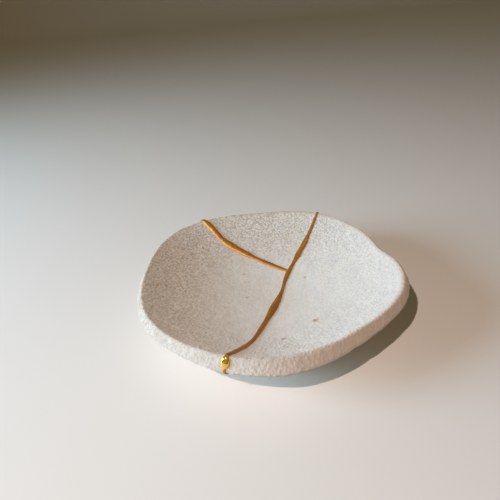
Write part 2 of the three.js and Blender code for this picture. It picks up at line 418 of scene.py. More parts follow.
def turn_of(point):
    return math.atan2(point[1], point[0])


def turn_at(profile, line, run):
    """The turn at which a crack passes the place at that run."""
    return turn_of(along_line(line, crossing(profile, line, run)))


def trimmed_pair(first, second):
    """Two lines cut back to the point where they meet, near their starts."""
    near = slice(0, 300)
    gaps = np.linalg.norm(first[near][:, None] - second[near][None], axis=2)
    i, j = np.unravel_index(np.argmin(gaps), gaps.shape)
    apex = (first[i] + second[j]) / 2
    return np.vstack([[apex], first[i + 1 :]]), np.vstack([[apex], second[j + 1 :]])


# ---------------------------------------------------------------- sheets of clay


class Sheet:
    """An open sheet of clay, laid out row by row from the junction over the lip and back."""

    def __init__(self):
        self.runs, self.turns, self.faces, self.rows = [], [], [], []

    def add_row(self, runs, turns):
        start = sum(len(run) for run in self.runs)
        self.runs.append(np.atleast_1d(runs))
        self.turns.append(np.atleast_1d(turns))
        row = list(range(start, start + len(self.runs[-1])))
        if self.rows:
            self.knit(self.rows[-1], row)
        self.rows.append(row)

    def knit(self, inner, outer):
        """Joins two rows. They have as many steps as each other, half or twice as many, or one
        of them is a single point."""
        if len(inner) == 1:
            self.faces += [(inner[0], b, c) for b, c in zip(outer, outer[1:])]
        elif len(outer) == 1:
            self.faces += [(a, outer[0], b) for a, b in zip(inner, inner[1:])]
        elif len(inner) == len(outer):
            for i in range(len(inner) - 1):
                self.faces.append((inner[i], outer[i], outer[i + 1], inner[i + 1]))
        elif len(inner) < len(outer):
            for i in range(len(inner) - 1):
                a, b = inner[i : i + 2]
                c, d, e = outer[2 * i : 2 * i + 3]
                self.faces += [(a, c, d), (a, d, b), (b, d, e)]
        else:
            for i in range(len(outer) - 1):
                a, b, c = inner[2 * i : 2 * i + 3]
                d, e = outer[i : i + 2]
                self.faces += [(a, d, b), (b, d, e), (b, e, c)]

    def edge(self, side):
        """The indices along one side of the sheet, -1 for the last column and 0 for the first."""
        return [row[side] for row in self.rows]


def fan_points(first, second, arc, share, across):
    """A row of points across the fan between two cracks, at a share of the way from the junction
    to the arc of the rim."""
    u = across[:, None]
    a, b = (along_line(line, share * lengths(line)[-1]) for line in (first, second))
    chord = (1 - u) * arc[0] + u * arc[-1]
    return (1 - u) * a + u * b + share * (arc - chord)


def fan_rows(profile, first, second, run, columns, spacing, least=4):
    """Rows of plan points from the junction out to the closed line at that run. The steps across
    are halved again and again towards the junction."""
    ends = [crossing(profile, line, run) for line in (first, second)]
    cut = [along_line(line, np.linspace(0, end, 400)) for line, end in zip((first, second), ends)]
    turns = [turn_of(line[-1]) for line in cut]
    if turns[1] < turns[0]:
        turns[1] += 2 * math.pi
    count = max(6, round(max(ends) / spacing))
    rows = [cut[0][:1]]
    for step in range(1, count + 1):
        share = step / count
        halvings = max(0, math.ceil(math.log2(1 / share) - 0.5))
        here = columns
        for _ in range(halvings):
            if here % 2 == 0 and here // 2 >= least:
                here //= 2
        across = np.linspace(0, 1, here + 1)
        around = turns[0] + across * (turns[1] - turns[0])
        radius = plan_radius(profile.clay, profile.place(np.full(here + 1, run)), around)
        arc = radius[:, None] * np.stack([np.cos(around), np.sin(around)], axis=1)
        rows.append(fan_points(*cut, arc, share, across))
    return rows


def shard_sheet(profile, first, second, columns):
    """The clay between two cracks, as one open sheet whose sides lie in the cracks."""
    sheet = Sheet()

    def lay(rows, underneath):
        for row in rows:
            sheet.add_row(profile.run_at(row, underneath), np.arctan2(row[:, 1], row[:, 0]))

    lay(fan_rows(profile, first, second, profile.crest_start, columns, FAN_SPACING), False)
    stretches = (
        (profile.crest_start, profile.wall_start, LIP_SPACING, columns),
        (profile.wall_start, profile.foot, WALL_SPACING, columns // 2),
    )
    for start, end, spacing, here in stretches:
        steps = round((end - start) / spacing)
        for run in np.linspace(start, end, steps + 1)[1:]:
            turns = [turn_at(profile, line, run) for line in (first, second)]
            if turns[1] < turns[0]:
                turns[1] += 2 * math.pi
            sheet.add_row(np.full(here + 1, run), np.linspace(*turns, here + 1))
    under = fan_rows(profile, first, second, profile.foot, columns // 2, FOOT_SPACING)
    lay(under[::-1][1:], True)
    return sheet


def link_sides(top, bottom, reach):
    """Triangles that fill the crack face between two chains of points, which start one above the
    other and end in the same point."""
    faces, i, j = [], 0, 0
    while i < len(top) - 1 or j < len(bottom) - 1:
        top_next = reach[top[i + 1]] if i < len(top) - 1 else math.inf
        bottom_next = reach[bottom[j + 1]] if j < len(bottom) - 1 else math.inf
        if top_next <= bottom_next:
            corners = (top[i], top[i + 1], bottom[j])
            i += 1
        else:
            corners = (bottom[j + 1], bottom[j], top[i])
            j += 1
        if len(set(corners)) == 3:
            faces.append(corners)
    return faces


def smooth_share(value, low, high):
    t = np.clip((value - low) / (high - low), 0, 1)
    return t * t * (3 - 2 * t)


def put_attribute(mesh, name, values):
    """Gives the mesh's points a number or a vector each."""
    values = np.asarray(values, np.float32)
    vector = values.ndim == 2
    made = mesh.attributes.new(name, "FLOAT_VECTOR" if vector else "FLOAT", "POINT")
    made.data.foreach_set("vector" if vector else "value", values.ravel())


def new_piece(name, points, edges=(), faces=()):
    mesh = bpy.data.meshes.new(name)
    mesh.from_pydata([tuple(point) for point in points], list(edges), list(faces))
    piece = bpy.data.objects.new(name, mesh)
    bpy.context.scene.collection.objects.link(piece)
    return piece


def clay_blank(name, profile, sheet):
    """The sheet as a flat mesh that carries where each point goes and how rough it is there."""
    run, turn = np.concatenate(sheet.runs), np.concatenate(sheet.turns)
    flat = np.stack([run * np.cos(turn), run * np.sin(turn), 0 * run], axis=1)
    piece = new_piece(name, flat, faces=sheet.faces)
    lip_middle = (profile.lip_start + profile.lip_end) / 2
    lip_half = (profile.wall_start - profile.crest_start) / 2
    lip = 1 - smooth_share(abs(run - lip_middle), 0.72 * lip_half, 1.05 * lip_half)
    under = smooth_share(run, profile.foot - 1 * MM, profile.foot)
    bottom = 1 - smooth_share(run, 0.3 * profile.crest_start, 0.8 * profile.crest_start)
    toast = np.exp(-(((run - profile.wall_start) / (1.6 * MM)) ** 2))
    mesh = piece.data
    put_attribute(mesh, "order", 1 + np.arange(len(run)))
    put_attribute(mesh, "turn", turn)
    put_attribute(mesh, "place", profile.place(run))
    put_attribute(mesh, "shaping", 1 - under)
    put_attribute(mesh, "coarse", 1 - 0.62 * bottom - 0.6 * under)
    put_attribute(mesh, "lip", lip)
    put_attribute(mesh, "toast", toast)
    slanted = turn + 0.35 * (run - profile.crest_start) / profile.clay.rim_radius
    stroke = np.stack(
        [
            profile.clay.rim_radius * np.cos(slanted),
            profile.clay.rim_radius * np.sin(slanted),
            0.3 * run,
        ],
        axis=1,
    )
    put_attribute(mesh, "stroke", stroke)
    return piece


# ---------------------------------------------------------------- building node trees


class Bench:
    """Adds nodes to a tree and joins them. An input is a socket or a plain value."""

    def __init__(self, tree):
        self.tree = tree

    def join(self, value, socket):
        if isinstance(value, bpy.types.NodeSocket):
            self.tree.links.new(value, socket)
        else:
            socket.default_value = value

    def node(self, kind, inputs=None, **settings):
        made = self.tree.nodes.new(kind)
        made.location = (190 * (len(self.tree.nodes) % 24), -260 * (len(self.tree.nodes) // 24))
        for key, value in settings.items():
            setattr(made, key, value)
        for key, value in (inputs or {}).items():
            self.join(value, made.inputs[key])
        return made

    def math(self, operation, *values):
        made = self.node("ShaderNodeMath", operation=operation)
        for value, socket in zip(values, made.inputs):
            self.join(value, socket)
        return made.outputs[0]

    def times(self, first, second):
        return self.math("MULTIPLY", first, second)

    def plus(self, first, second):
        return self.math("ADD", first, second)

    def minus(self, first, second):
        return self.math("SUBTRACT", first, second)

    def times_plus(self, first, second, added):
        return self.math("MULTIPLY_ADD", first, second, added)

    def vector(self, operation, *values):
        made = self.node("ShaderNodeVectorMath", operation=operation)
        for value, socket in zip(values, made.inputs):
            self.join(value, socket)
        number = operation in ("DOT_PRODUCT", "LENGTH", "DISTANCE")
        return made.outputs["Value" if number else "Vector"]

    def scaled(self, vector, factor):
        made = self.node("ShaderNodeVectorMath", {"Scale": factor}, operation="SCALE")
        self.join(vector, made.inputs[0])
        return made.outputs["Vector"]

    def combined(self, x, y, z):
        return self.node("ShaderNodeCombineXYZ", {"X": x, "Y": y, "Z": z}).outputs[0]

    def parts(self, vector):
        return self.node("ShaderNodeSeparateXYZ", {"Vector": vector}).outputs[:3]

    def ramp(self, value, from_low, from_high, to_low=0.0, to_high=1.0, smooth=True):
        """value carried from one range to another, held at its ends."""
        inputs = {
            "Value": value,
            "From Min": from_low,
            "From Max": from_high,
            "To Min": to_low,
            "To Max": to_high,
        }
        kind = "SMOOTHSTEP" if smooth else "LINEAR"
        return self.node("ShaderNodeMapRange", inputs, interpolation_type=kind).outputs[0]

    def noise(self, vector, scale, detail=2.0, roughness=0.5):
        inputs = {"Vector": vector, "Scale": scale, "Detail": detail, "Roughness": roughness}
        return self.node("ShaderNodeTexNoise", inputs).outputs[0]

    def cells(self, vector, scale):
        """Distance to the nearest of scattered points, 0 at a point and about 0.7 between them."""
        inputs = {"Vector": vector, "Scale": scale}
        return self.node("ShaderNodeTexVoronoi", inputs).outputs["Distance"]

    def stored(self, name, kind="FLOAT"):
        """An attribute of the geometry, in a Geometry Nodes tree."""
        made = self.node("GeometryNodeInputNamedAttribute", {"Name": name}, data_type=kind)
        return made.outputs[0]

    def store(self, geometry, name, value, kind="FLOAT"):
        made = self.node("GeometryNodeStoreNamedAttribute", data_type=kind, domain="POINT")
        self.join(geometry, made.inputs["Geometry"])
        self.join(name, made.inputs["Name"])
        self.join(value, made.inputs["Value"])
        return made.outputs[0]

    def placed(self, geometry, position):
        inputs = {"Geometry": geometry, "Position": position}
        return self.node("GeometryNodeSetPosition", inputs).outputs[0]

    def attribute(self, name, output="Fac"):
        """An attribute of the geometry, in a material."""
        return self.node("ShaderNodeAttribute", attribute_name=name).outputs[output]

    def blended(self, factor, first, second, blend="MIX"):
        """Two colours mixed, in a material."""
        made = self.node("ShaderNodeMix", data_type="RGBA", blend_type=blend)
        sockets = {socket.identifier: socket for socket in made.inputs}
        self.join(factor, sockets["Factor_Float"])
        self.join(first, sockets["A_Color"])
        self.join(second, sockets["B_Color"])
        return next(out for out in made.outputs if out.identifier == "Result_Color")


def new_tree(name, inputs, outputs):
    """An empty node tree with named inputs and outputs, and its two end nodes."""
    tree = bpy.data.node_groups.new(name, "GeometryNodeTree")
    for direction, sockets in (("INPUT", inputs), ("OUTPUT", outputs)):
        for socket, kind, value in sockets:
            kind = "NodeSocket" + kind
            made = tree.interface.new_socket(socket, in_out=direction, socket_type=kind)
            if value is not None:
                made.default_value = value
    bench = Bench(tree)
    entry, leave = bench.node("NodeGroupInput"), bench.node("NodeGroupOutput")
    return tree, bench, entry.outputs, leave.inputs


# Inputs of the node trees, each named after a size of its group.
FORM_INPUTS = (
    "Rim radius",
    "Rim height",
    "Lip lean",
    "Dent turn",
    "Dent spread",
    "Dent depth",
    "Dent dip",
)
CLAY_INPUTS = (
    "Grain width",
    "Grain depth",
    "Print width",
    "Print depth",
    "Stroke width",
    "Stroke depth",
    "Skin",
    "Speck radius",
    "Speck gap",
)
BEAD_INPUTS = ("Edge wobble", "Streak depth")
BEAD_SIDES = 24
WOBBLE_LENGTH = 4.2 * MM
STREAK_WIDTH = 0.75 * MM
SUNK_DEPTH = 0.7 * MM


def size_inputs(group, names):
    """The sizes of a group that a tree takes, by the names of its inputs."""
    return {name: getattr(group, name.lower().replace(" ", "_")) for name in names}


def float_sockets(sizes):
    return [(name, "Float", value) for name, value in sizes.items()]


def bowl_point_tree(clay):
    """The rule of the bowl: from a place of the profile and a turn to a point in space."""
    form = float_sockets(size_inputs(clay, FORM_INPUTS))
    inputs = (("Place", "Vector", None), ("Turn", "Float", 0.0), *form)
    tree, bench, given, result = new_tree("Bowl point", inputs, [("Point", "Vector", None)])
    turn = given["Turn"]
    rim_share, lean_share, height = bench.parts(given["Place"])

    def waves(rows):
        total = 0.0
        for count, swell, peak in rows:
            angle = bench.times_plus(turn, float(count), -count * math.radians(peak))
            wave = bench.math("COSINE", angle)
            total = bench.times_plus(wave, swell * MM, total)
        return total

    away = bench.minus(turn, given["Dent turn"])
    wrapped = bench.math("ARCTAN2", bench.math("SINE", away), bench.math("COSINE", away))
    spread = bench.math("DIVIDE", wrapped, given["Dent spread"])
    falling = bench.times(bench.times(spread, spread), -1.0)
    dent = bench.math("EXPONENT", falling)
    rim = bench.times(rim_share, bench.plus(waves(OUTLINE_WAVES), given["Rim radius"]))
    lean = bench.times(lean_share, bench.plus(waves(LEAN_WAVES), given["Lip lean"]))
    cubed = bench.math("POWER", rim_share, 3.0)
    pushed = bench.times(bench.times(cubed, dent), given["Dent depth"])
    radius = bench.minus(bench.plus(rim, lean), pushed)
    dip = bench.times(dent, given["Dent dip"])
    uneven = bench.minus(waves(HEIGHT_WAVES), dip)
    lift = bench.ramp(height, 0.0, given["Rim height"])
    lift = bench.times(lift, bench.times(rim_share, rim_share))
    x = bench.times(radius, bench.math("COSINE", turn))
    y = bench.times(radius, bench.math("SINE", turn))
    z = bench.times_plus(uneven, lift, height)
    bench.join(bench.combined(x, y, z), result["Point"])
    return tree


def bowl_point(bench, rule, given, place, turn):
    """Adds the bowl's rule to a tree and returns its point."""
    made = bench.node("GeometryNodeGroup", node_tree=rule)
    bench.join(place, made.inputs["Place"])
    bench.join(turn, made.inputs["Turn"])
    for name in FORM_INPUTS:
        bench.join(given[name], made.inputs[name])
    return made.outputs["Point"]


def clay_tree(rule, clay):
    """Raises a flat sheet into the bowl, roughens it with grains, hand prints and lip strokes, and
    scatters iron specks on it."""
    inputs = (
        ("Sheet", "Geometry", None),
        *float_sockets(size_inputs(clay, FORM_INPUTS + CLAY_INPUTS)),
        ("Seed", "Int", clay.seed),
        ("Clay", "Material", None),
        ("Iron", "Material", None),
    )
    tree, bench, given, result = new_tree("Clay sheet", inputs, [("Clay", "Geometry", None)])
    place = bench.stored("place", "FLOAT_VECTOR")
    point = bowl_point(bench, rule, given, place, bench.stored("turn"))
    raised = bench.placed(given["Sheet"], point)
    position = bench.node("GeometryNodeInputPosition").outputs[0]
    normal = bench.node("GeometryNodeInputNormal").outputs[0]
    # The seed moves every pattern to another part of its field.
    shift = bench.times(given["Seed"], 1.37)
    here = bench.vector("ADD", position, bench.combined(shift, 0.0, shift))

    per_grain = bench.math("DIVIDE", 1.0, given["Grain width"])
    jitter = bench.noise(here, bench.times(per_grain, 0.6), 2.0)
    nudge = bench.scaled(bench.combined(jitter, jitter, jitter), 0.5 * MM)
    jittered = bench.vector("ADD", here, nudge)
    between = bench.ramp(bench.cells(jittered, per_grain), 0.18, 0.74)
    fine = bench.noise(here, bench.times(per_grain, 1.7), 1.0)
    crevice = bench.times(between, bench.ramp(fine, 0.3, 0.62, 0.45, 1.0))
    coarse = bench.stored("coarse")
    grain = bench.times(bench.times(crevice, coarse), given["Grain depth"])

    per_print = bench.math("DIVIDE", 1.0, given["Print width"])
    broad = bench.ramp(bench.noise(here, per_print, 1.5), 0.28, 0.72)
    small = bench.ramp(bench.noise(here, bench.times(per_print, 3.2), 2.0), 0.3, 0.7)
    prints = bench.times_plus(small, 0.3, bench.times(broad, 0.7))
    prints = bench.times(prints, given["Print depth"])

    per_stroke = bench.math("DIVIDE", 1.0, given["Stroke width"])
    strokes = bench.noise(bench.stored("stroke", "FLOAT_VECTOR"), per_stroke, 2.0, 0.6)
    strokes = bench.ramp(strokes, 0.32, 0.66)
    lip = bench.stored("lip")
    scored = bench.times(bench.times(strokes, lip), given["Stroke depth"])

    shaping = bench.plus(bench.plus(prints, scored), given["Skin"])
    depth = bench.times_plus(shaping, bench.stored("shaping"), grain)
    textured = bench.node("GeometryNodeSetPosition", {"Geometry": raised})
    bench.join(bench.scaled(normal, bench.times(depth, -1.0)), textured.inputs["Offset"])
    # The crevices and the lip strokes are stored for the material, which paints shade into them.
    shade = bench.math("MAXIMUM", crevice, bench.times(strokes, lip))
    surface = bench.store(textured.outputs[0], "crevice", shade)
    surface = bench.node("GeometryNodeSetShadeSmooth", {"Geometry": surface}).outputs[0]
    clay = bench.node("GeometryNodeSetMaterial", {"Geometry": surface, "Material": given["Clay"]})

    scatter = bench.node(
        "GeometryNodeDistributePointsOnFaces",
        {
            "Mesh": clay.outputs[0],
            "Distance Min": given["Speck gap"],
            "Density Max": 26000.0,
            "Density Factor": bench.stored("shaping"),
            "Seed": given["Seed"],
        },
        distribute_method="POISSON",
    )
    ball = bench.node(
        "GeometryNodeMeshIcoSphere", {"Radius": given["Speck radius"], "Subdivisions": 1}
    )
    size = bench.node("FunctionNodeRandomValue", {"Seed": given["Seed"]}, data_type="FLOAT")
    size.inputs[2].default_value, size.inputs[3].default_value = 0.35, 1.0
    flat = bench.combined(size.outputs[1], size.outputs[1], bench.times(size.outputs[1], 0.3))
    specks = bench.node(
        "GeometryNodeInstanceOnPoints",
        {
            "Points": scatter.outputs["Points"],
            "Instance": ball.outputs["Mesh"],
            "Rotation": scatter.outputs["Rotation"],
            "Scale": flat,
        },
    )
    real = bench.node("GeometryNodeRealizeInstances", {"Geometry": specks.outputs[0]})
    unordered = bench.store(real.outputs[0], "order", 0.0)
    specks = bench.node(
        "GeometryNodeSetMaterial", {"Geometry": unordered, "Material": given["Iron"]}
    )
    both = bench.node("GeometryNodeJoinGeometry")
    bench.join(specks.outputs[0], both.inputs[0])
    bench.join(clay.outputs[0], both.inputs[0])
    bench.join(both.outputs[0], result["Clay"])
    return tree


def bead_tree(rule, clay, seam):
    """Sweeps the raised bead of lacquer along a crack, over the lip and down the wall."""
    inputs = (
        ("Path", "Geometry", None),
        *float_sockets(size_inputs(clay, FORM_INPUTS)),
        ("Sides", "Int", BEAD_SIDES),
        ("Wobble length", "Float", WOBBLE_LENGTH),
        ("Streak width", "Float", STREAK_WIDTH),
        ("Sunk depth", "Float", SUNK_DEPTH),
        *float_sockets(size_inputs(seam, BEAD_INPUTS)),
        ("Seed", "Int", seam.seed),
        ("Gold", "Material", None),
    )
    tree, bench, given, result = new_tree("Gilded bead", inputs, [("Bead", "Geometry", None)])
    place, turn = bench.stored("place", "FLOAT_VECTOR"), bench.stored("turn")
    centre = bowl_point(bench, rule, given, place, turn)
    ahead = bowl_point(bench, rule, given, bench.stored("place_ahead", "FLOAT_VECTOR"), turn)
    round_it = bowl_point(bench, rule, given, place, bench.plus(turn, 0.001))
    onward, around = (bench.vector("SUBTRACT", end, centre) for end in (ahead, round_it))
    lift = bench.vector("CROSS_PRODUCT", onward, around)
    path = bench.store(given["Path"], "lift", bench.vector("NORMALIZE", lift), "FLOAT_VECTOR")
    path = bench.store(path, "centre", centre, "FLOAT_VECTOR")
    path = bench.placed(path, bench.stored("centre", "FLOAT_VECTOR"))
    curve = bench.node("GeometryNodeMeshToCurve", {"Mesh": path}).outputs[0]
    tangent = bench.node("GeometryNodeInputTangent").outputs[0]
    across = bench.vector("CROSS_PRODUCT", bench.stored("lift", "FLOAT_VECTOR"), tangent)
    curve = bench.store(curve, "across", bench.vector("NORMALIZE", across), "FLOAT_VECTOR")
    circle = bench.node(
        "GeometryNodeCurvePrimitiveCircle", {"Resolution": given["Sides"], "Radius": 1 * MM}
    )
    step = bench.node("GeometryNodeInputIndex").outputs[0]
    angle = bench.times(bench.math("DIVIDE", step, given["Sides"]), 2 * math.pi)
    section = bench.store(circle.outputs["Curve"], "round", angle)
    swept = bench.node(
        "GeometryNodeCurveToMesh", {"Curve": curve, "Profile Curve": section, "Fill Caps": True}
    ).outputs[0]

    cosine, sine = (bench.math(name, bench.stored("round")) for name in ("COSINE", "SINE"))
    along = bench.times_plus(given["Seed"], 0.61, bench.stored("along"))
    slow = bench.math("DIVIDE", along, given["Wobble length"])
    side = bench.times(cosine, 1.6)
    uneven = bench.minus(bench.noise(bench.combined(slow, side, 0.0), 1.0, 3.0, 0.55), 0.5)
    calm = bench.minus(1.0, bench.stored("polish"))
    uneven = bench.times(bench.times(uneven, calm), given["Edge wobble"])
    width = bench.times(bench.times_plus(uneven, 2.0, 1.0), bench.stored("half_width"))
    slanted = bench.times_plus(cosine, bench.stored("half_width"), along)
    fast = bench.math("DIVIDE", slanted, given["Streak width"])
    streak = bench.noise(bench.combined(fast, bench.times(cosine, 0.7), 4.0), 1.0, 1.0)
    streak = bench.times(bench.minus(streak, 0.5), given["Streak depth"])
    ripple = bench.noise(bench.combined(slow, 0.0, 9.0), 2.2, 1.0)
    rise = bench.times(bench.ramp(ripple, 0.3, 0.7, 0.72, 0.88), bench.stored("rise"))
    rise = bench.times_plus(bench.times(streak, calm), 2.0, rise)
    above = bench.times(bench.math("MAXIMUM", sine, 0.0), rise)
    below = bench.times(bench.math("MINIMUM", sine, 0.0), given["Sunk depth"])
    sideways = bench.scaled(bench.stored("across", "FLOAT_VECTOR"), bench.times(cosine, width))
    upward = bench.scaled(bench.stored("lift", "FLOAT_VECTOR"), bench.plus(above, below))
    moved = bench.vector("ADD", sideways, upward)
    place = bench.vector("ADD", bench.stored("centre", "FLOAT_VECTOR"), moved)
    bead = bench.placed(swept, place)
    spread = bench.combined(along, bench.times(cosine, bench.stored("half_width")), 0.0)
    bead = bench.store(bead, "brush", spread, "FLOAT_VECTOR")
    smooth = bench.node("GeometryNodeSetShadeSmooth", {"Geometry": bead}).outputs[0]
    real = bench.node("GeometryNodeRealizeInstances", {"Geometry": smooth}).outputs[0]
    gold = bench.node("GeometryNodeSetMaterial", {"Geometry": real, "Material": given["Gold"]})
    bench.join(gold.outputs[0], result["Bead"])
    return tree


def add_tree(piece, tree, values):
    """Puts a node tree on a piece and sets its inputs by their sockets' identifiers."""
    modifier = piece.modifiers.new(tree.name, "NODES")
    modifier.node_group = tree
    for item in tree.interface.items_tree:
        if item.item_type == "SOCKET" and item.in_out == "INPUT" and item.name in values:
            modifier[item.identifier] = values[item.name]


def settle(piece):
    """Turns what a piece's modifiers make into its plain mesh."""
    graph = bpy.context.evaluated_depsgraph_get()
    made = bpy.data.meshes.new_from_object(
        piece.evaluated_get(graph), preserve_all_data_layers=True, depsgraph=graph
    )
    piece.modifiers.clear()
    blank, piece.data = piece.data, made
    bpy.data.meshes.remove(blank)
    made.name = piece.name


# ---------------------------------------------------------------- materials


def new_material(name):
    material = bpy.data.materials.new(name)
    material.use_nodes = True
    bench = Bench(material.node_tree)
    shader = material.node_tree.nodes["Principled BSDF"]
    place = bench.node("ShaderNodeTexCoord").outputs["Object"]
    return material, bench, shader, place


def bumped(bench, height, strength, distance, below=None):
    inputs = {"Height": height, "Strength": strength, "Distance": distance}
    made = bench.node("ShaderNodeBump", inputs)
    if below is not None:
        bench.join(below, made.inputs["Normal"])
    return made.outputs[0]


# Stains of iron in the clay: where they lie seen from above, and how far they spread, in mm.
IRON_STAINS = (
    ((-58.2, -1.4, 25.0), 1.0),
    ((-12.9, -0.4, 10.7), 0.9),
    ((20.2, 10.9, 12.4), 0.8),
    ((18.6, -29.5, 15.7), 1.5),
    ((2.3, -42.4, 18.2), 1.2),
    ((-13.6, 19.7, 12.0), 0.7),
)


# Patterns of the materials: size of a mark in mm, detail and roughness.
PATTERNS = {
    "mottle": (16, 3.0, 0.6),
    "cloud": (7, 2.0, 0.5),
    "freckle": (2.4, 4.0, 0.7),
    "ragged": (0.9, 3.0, 0.6),
    "fine": (0.55, 3.0, 0.65),
    "dust": (0.22, 2.0, 0.6),
    "score": (0.45, 2.0, 0.6),
    "speck": (3, 2.0, 0.5),
    "pit": (0.2, 2.0, 0.5),
    "thin": (9, 3.0, 0.6),
    "streak": (0.5, 3.0, 0.6),
    "powder": (0.16, 2.0, 0.6),
}
PALE_CLAY = (0.80, 0.765, 0.70, 1.0)
COOL_CLAY = (0.66, 0.66, 0.64, 1.0)
CHALK = (0.90, 0.88, 0.84, 1.0)


def pattern(bench, place, name):
    size, detail, roughness = PATTERNS[name]
    return bench.noise(place, 1 / (size * MM), detail, roughness)


def shaded(paint, factor):
    """A colour made darker or lighter."""
    return tuple(min(1.0, factor * part) for part in paint[:3]) + (1.0,)


def stoneware_material(clay):
    """Unglazed off-white stoneware: coarse grain, painted shade in the crevices, iron stains,
    toasted edges, and painted shade on the lip towards the right.
    """
    material, bench, shader, place = new_material("stoneware")
    crevice, lip, toast = (bench.attribute(name) for name in ("crevice", "lip", "toast"))
    coarse = bench.attribute("coarse")
    broad = pattern(bench, place, "mottle")
    fine = pattern(bench, place, "fine")
    dust = pattern(bench, place, "dust")
    colour = bench.blended(
        bench.ramp(broad, 0.3, 0.7, 0.0, 0.55), tuple(clay.body_colour), PALE_CLAY
    )
    cool = bench.ramp(pattern(bench, place, "cloud"), 0.42, 0.7, 0.0, 0.35)
    colour = bench.blended(cool, colour, COOL_CLAY)
    # Painted shade: the crevices are painted browner towards the far left, where the hollow faces
    # away from the window.
    to_far_left = bench.vector("DOT_PRODUCT", place, (-0.6, 0.8, 0.0))
    side = bench.ramp(to_far_left, -45 * MM, 40 * MM, 0.4, 1.0)
    crevice_shade = bench.times(bench.times(crevice, coarse), side)
    crevice_shade_mask = bench.times(crevice_shade, bench.ramp(fine, 0.35, 0.6, 0.3, 1.0))
    colour = bench.blended(crevice_shade_mask, colour, tuple(clay.crevice_shade_colour))
    pale = bench.times(bench.ramp(dust, 0.56, 0.72), 0.35)
    colour = bench.blended(pale, colour, CHALK)
    freckle = bench.ramp(pattern(bench, place, "freckle"), 0.62, 0.74, 0.0, 0.5)
    warm = bench.blended(0.55, tuple(clay.body_colour), tuple(clay.iron_colour))
    colour = bench.blended(freckle, colour, warm)
    singed = bench.times(toast, bench.ramp(fine, 0.45, 0.62, 0.0, 0.75))
    colour = bench.blended(singed, colour, tuple(clay.iron_colour))
    # Painted shade: the lip is painted browner more and more towards the right, the side that faces
    # away from the window.
    browned = bench.ramp(bench.parts(place)[0], -45 * MM, 55 * MM, 0.06, 0.72)
    browned = bench.times(bench.times(browned, lip), bench.ramp(fine, 0.25, 0.7, 1.0, 0.55))
    colour = bench.blended(browned, colour, tuple(clay.lip_shade_colour))
    ragged = pattern(bench, place, "ragged")
    for (x, y, z), radius in IRON_STAINS:
        away = bench.vector("DISTANCE", place, (x * MM, y * MM, z * MM))
        reach = bench.times_plus(ragged, 3.2 * radius * MM, -0.6 * radius * MM)
        stain = bench.minus(reach, away)
        colour = bench.blended(
            bench.ramp(stain, -0.3 * MM, 0.5 * MM, 0.0, 0.8), colour, tuple(clay.iron_colour)
        )
    bench.join(colour, shader.inputs["Base Color"])
    bench.join(bench.ramp(fine, 0.3, 0.7, 0.82, 0.97), shader.inputs["Roughness"])
    shader.inputs["Specular IOR Level"].default_value = 0.25
    shader.inputs["Diffuse Roughness"].default_value = 0.6
    strokes = pattern(bench, bench.attribute("stroke", "Vector"), "score")
    scored = bench.times(strokes, lip)
    normal = bumped(bench, dust, 0.35, 0.08 * MM)
    normal = bumped(bench, fine, 0.6, 0.16 * MM, normal)
    normal = bumped(bench, scored, 0.5, 0.2 * MM, normal)
    bench.join(normal, shader.inputs["Normal"])
    return material


def iron_material(clay):
    """The melted iron of the specks."""
    material, bench, shader, place = new_material("iron_speck")
    tone = pattern(bench, place, "speck")
    dark = shaded(clay.iron_colour, 0.7)
    colour = bench.blended(bench.ramp(tone, 0.35, 0.65), tuple(clay.iron_colour), dark)
    bench.join(colour, shader.inputs["Base Color"])
    bench.join(bench.ramp(tone, 0.3, 0.7, 0.5, 0.8), shader.inputs["Roughness"])
    bench.join(bumped(bench, pattern(bench, place, "pit"), 0.4, 0.05 * MM), shader.inputs["Normal"])
    return material


def gold_material(seam):
    """Gold powder brushed on lacquer: satin along the seam and polished at the drop."""
    material, bench, shader, place = new_material("gilded_lacquer")
    brush, polish = bench.attribute("brush", "Vector"), bench.attribute("polish")
    dull = bench.minus(1.0, polish)
    thin = bench.ramp(pattern(bench, place, "thin"), 0.38, 0.64, 0.0, 0.85)
    along, aside, _ = bench.parts(brush)
    streaked = bench.combined(bench.plus(along, aside), bench.times(aside, 0.35), 0.0)
    streak = pattern(bench, streaked, "streak")
    powder = pattern(bench, place, "powder")
    colour = bench.blended(thin, tuple(seam.gold_colour), tuple(seam.copper_colour))
    light = shaded(seam.gold_colour, 1.35)
    colour = bench.blended(bench.ramp(streak, 0.45, 0.7, 0.0, 0.5), colour, light)
    dark = shaded(seam.copper_colour, 0.45)
    colour = bench.blended(bench.ramp(powder, 0.58, 0.75, 0.0, 0.45), colour, dark)
    colour = bench.blended(polish, colour, tuple(seam.polished_colour))
    bench.join(colour, shader.inputs["Base Color"])
    satin = bench.ramp(streak, 0.3, 0.7, 0.46, 0.62)
    bench.join(bench.times_plus(satin, dull, bench.times(polish, 0.13)), shader.inputs["Roughness"])
    shader.inputs["Metallic"].default_value = 0.75
    normal = bumped(bench, bench.times(powder, dull), 0.35, 0.05 * MM)
    normal = bumped(bench, bench.times(streak, dull), 0.5, 0.12 * MM, normal)
    bench.join(normal, shader.inputs["Normal"])
    return material


def floor_material(stage):
    material, bench, shader, place = new_material("floor")
    tone = bench.noise(place, 3.0, 2.0)
    pale = shaded(stage.floor_colour, 1.02)
    bench.join(bench.blended(tone, tuple(stage.floor_colour), pale), shader.inputs["Base Color"])
    shader.inputs["Roughness"].default_value = 0.34
    shader.inputs["Specular IOR Level"].default_value = 0.5
    return material


# ---------------------------------------------------------------- pieces


def settings():
    """The three groups of sizes and colours."""
    scene = bpy.context.scene
    return scene.kintsugi_clay, scene.kintsugi_seam, scene.kintsugi_stage


def shared_rule(clay):
    """The bowl's rule as a node tree, made once."""
    return bpy.data.node_groups.get("Bowl point") or bowl_point_tree(clay)


